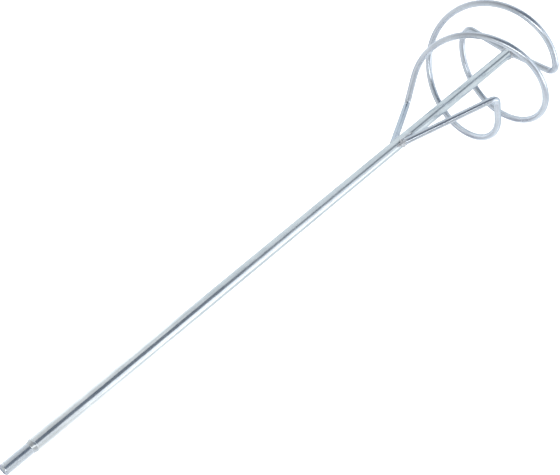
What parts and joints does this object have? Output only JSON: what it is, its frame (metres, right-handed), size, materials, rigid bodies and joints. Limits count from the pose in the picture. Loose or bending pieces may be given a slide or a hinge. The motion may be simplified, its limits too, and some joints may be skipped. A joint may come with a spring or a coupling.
{
  "type": "mortar mixing paddle",
  "caption": "Welded steel stirrer for a drill: hexagonal drive shank, long straight tube and an open basket of two spiral wire loops for mixing mortar.",
  "frame": {"origin": "centre of the flat free end of the drive shank", "axes": "+Z along the tool's axis, out of the free end of the shank, so the tool hangs below the origin; +X along the arm of wire_a"},
  "size_m": [0.132, 0.12, 0.6],
  "materials": {
    "shank_steel": "milled steel under bright zinc plating",
    "tube_zinc": "bright bluish zinc plating on drawn tube",
    "wire_zinc": "bright bluish zinc plating on bent wire",
    "weld_metal": "rippled weld bead under zinc plating"
  },
  "bodies": {
    "root": {"drive_shank": "shank_steel", "shaft_tube": "tube_zinc", "wire_a": "wire_zinc", "wire_b": "wire_zinc", "shank_weld": "weld_metal", "foot_weld_a": "weld_metal", "foot_weld_b": "weld_metal", "tip_weld_a": "weld_metal", "tip_weld_b": "weld_metal"}
  },
  "joints": []
}
